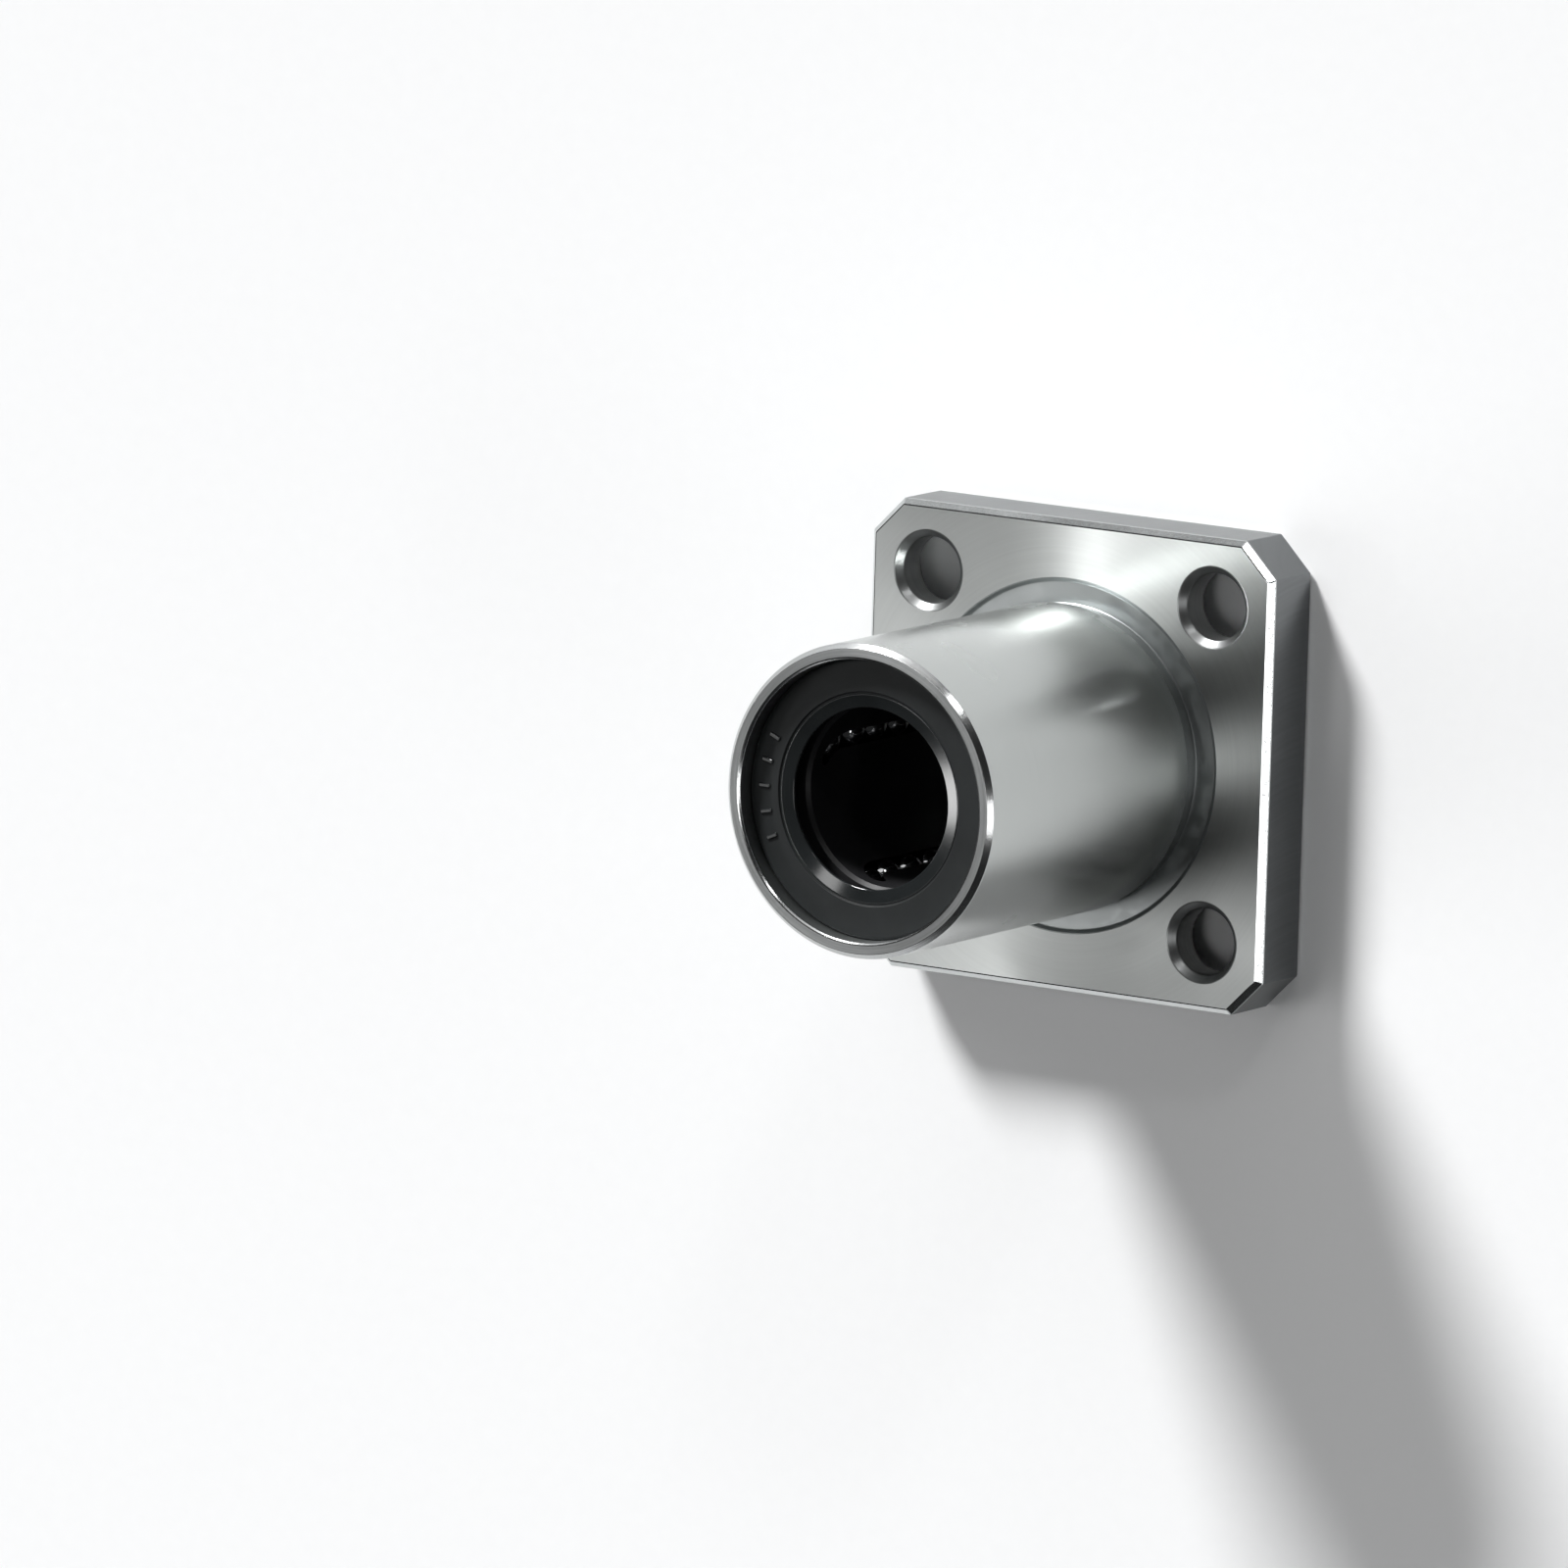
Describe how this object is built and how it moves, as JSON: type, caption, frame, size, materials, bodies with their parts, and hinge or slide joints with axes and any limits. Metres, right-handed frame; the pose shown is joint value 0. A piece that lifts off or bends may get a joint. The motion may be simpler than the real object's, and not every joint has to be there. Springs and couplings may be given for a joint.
{
  "type": "flanged linear ball bearing",
  "caption": "Linear ball bearing with a square counterbored flange at one end of a round barrel, sealed ends and recirculating balls round the shaft bore.",
  "frame": {"origin": "centre of the flange's back face, on the shaft axis", "axes": "+Z along the shaft axis from the flange towards the free end of the barrel; +X and +Y square to the flange's sides"},
  "size_m": [0.032, 0.032, 0.03],
  "materials": {
    "sleeve_steel": "ground barrel, turned flange face, milled flange sides",
    "ring_steel": "spring steel, stamped",
    "ball_steel": "lapped",
    "cage_resin": "moulded",
    "seal_rubber": "moulded"
  },
  "bodies": {
    "bearing_body": {"flanged_sleeve": "sleeve_steel", "ball_cage": "cage_resin", "front_seal": "seal_rubber", "rear_seal": "seal_rubber", "front_retaining_ring": "ring_steel", "rear_retaining_ring": "ring_steel"},
    "loaded_balls_1": {"loaded_balls_1": "ball_steel"},
    "return_balls_1": {"return_balls_1": "ball_steel"},
    "front_turn_balls_1": {"front_turn_balls_1": "ball_steel"},
    "rear_turn_balls_1": {"rear_turn_balls_1": "ball_steel"},
    "loaded_balls_2": {"loaded_balls_2": "ball_steel"},
    "return_balls_2": {"return_balls_2": "ball_steel"},
    "front_turn_balls_2": {"front_turn_balls_2": "ball_steel"},
    "rear_turn_balls_2": {"rear_turn_balls_2": "ball_steel"},
    "loaded_balls_3": {"loaded_balls_3": "ball_steel"},
    "return_balls_3": {"return_balls_3": "ball_steel"},
    "front_turn_balls_3": {"front_turn_balls_3": "ball_steel"},
    "rear_turn_balls_3": {"rear_turn_balls_3": "ball_steel"},
    "loaded_balls_4": {"loaded_balls_4": "ball_steel"},
    "return_balls_4": {"return_balls_4": "ball_steel"},
    "front_turn_balls_4": {"front_turn_balls_4": "ball_steel"},
    "rear_turn_balls_4": {"rear_turn_balls_4": "ball_steel"}
  },
  "joints": [
    {"name": "loaded_row_1_travel", "type": "slide", "parent": "bearing_body", "child": "loaded_balls_1", "axis": [0, 0, 1], "range_m": [-0.00135, 0.00135]},
    {"name": "return_row_1_travel", "type": "slide", "parent": "bearing_body", "child": "return_balls_1", "axis": [0, 0, 1], "range_m": [-0.00135, 0.00135]},
    {"name": "front_turn_1_swing", "type": "hinge", "parent": "bearing_body", "child": "front_turn_balls_1", "pos_m": [0.00161, 0.00722, 0.0231], "axis": [-0.4384, -0.8988, 0], "range_deg": [-45.05, 45.05]},
    {"name": "rear_turn_1_swing", "type": "hinge", "parent": "bearing_body", "child": "rear_turn_balls_1", "pos_m": [0.00161, 0.00722, 0.0069], "axis": [-0.4384, -0.8988, 0], "range_deg": [-45.05, 45.05]},
    {"name": "loaded_row_2_travel", "type": "slide", "parent": "bearing_body", "child": "loaded_balls_2", "axis": [0, 0, 1], "range_m": [-0.00135, 0.00135]},
    {"name": "return_row_2_travel", "type": "slide", "parent": "bearing_body", "child": "return_balls_2", "axis": [0, 0, 1], "range_m": [-0.00135, 0.00135]},
    {"name": "front_turn_2_swing", "type": "hinge", "parent": "bearing_body", "child": "front_turn_balls_2", "pos_m": [-0.00722, 0.00161, 0.0231], "axis": [0.8988, -0.4384, 0], "range_deg": [-45.05, 45.05]},
    {"name": "rear_turn_2_swing", "type": "hinge", "parent": "bearing_body", "child": "rear_turn_balls_2", "pos_m": [-0.00722, 0.00161, 0.0069], "axis": [0.8988, -0.4384, 0], "range_deg": [-45.05, 45.05]},
    {"name": "loaded_row_3_travel", "type": "slide", "parent": "bearing_body", "child": "loaded_balls_3", "axis": [0, 0, 1], "range_m": [-0.00135, 0.00135]},
    {"name": "return_row_3_travel", "type": "slide", "parent": "bearing_body", "child": "return_balls_3", "axis": [0, 0, 1], "range_m": [-0.00135, 0.00135]},
    {"name": "front_turn_3_swing", "type": "hinge", "parent": "bearing_body", "child": "front_turn_balls_3", "pos_m": [-0.00161, -0.00722, 0.0231], "axis": [0.4384, 0.8988, 0], "range_deg": [-45.05, 45.05]},
    {"name": "rear_turn_3_swing", "type": "hinge", "parent": "bearing_body", "child": "rear_turn_balls_3", "pos_m": [-0.00161, -0.00722, 0.0069], "axis": [0.4384, 0.8988, 0], "range_deg": [-45.05, 45.05]},
    {"name": "loaded_row_4_travel", "type": "slide", "parent": "bearing_body", "child": "loaded_balls_4", "axis": [0, 0, 1], "range_m": [-0.00135, 0.00135]},
    {"name": "return_row_4_travel", "type": "slide", "parent": "bearing_body", "child": "return_balls_4", "axis": [0, 0, 1], "range_m": [-0.00135, 0.00135]},
    {"name": "front_turn_4_swing", "type": "hinge", "parent": "bearing_body", "child": "front_turn_balls_4", "pos_m": [0.00722, -0.00161, 0.0231], "axis": [-0.8988, 0.4384, 0], "range_deg": [-45.05, 45.05]},
    {"name": "rear_turn_4_swing", "type": "hinge", "parent": "bearing_body", "child": "rear_turn_balls_4", "pos_m": [0.00722, -0.00161, 0.0069], "axis": [-0.8988, 0.4384, 0], "range_deg": [-45.05, 45.05]}
  ],
  "couplings": [
    {"joint": "front_turn_1_swing", "follows": "loaded_row_1_travel", "rad_per_m": 581.78},
    {"joint": "rear_turn_1_swing", "follows": "loaded_row_1_travel", "rad_per_m": 581.78},
    {"joint": "return_row_1_travel", "follows": "loaded_row_1_travel", "ratio": -1},
    {"joint": "front_turn_2_swing", "follows": "loaded_row_2_travel", "rad_per_m": 581.78},
    {"joint": "rear_turn_2_swing", "follows": "loaded_row_2_travel", "rad_per_m": 581.78},
    {"joint": "return_row_2_travel", "follows": "loaded_row_2_travel", "ratio": -1},
    {"joint": "front_turn_3_swing", "follows": "loaded_row_3_travel", "rad_per_m": 581.78},
    {"joint": "rear_turn_3_swing", "follows": "loaded_row_3_travel", "rad_per_m": 581.78},
    {"joint": "return_row_3_travel", "follows": "loaded_row_3_travel", "ratio": -1},
    {"joint": "front_turn_4_swing", "follows": "loaded_row_4_travel", "rad_per_m": 581.78},
    {"joint": "rear_turn_4_swing", "follows": "loaded_row_4_travel", "rad_per_m": 581.78},
    {"joint": "return_row_4_travel", "follows": "loaded_row_4_travel", "ratio": -1}
  ]
}
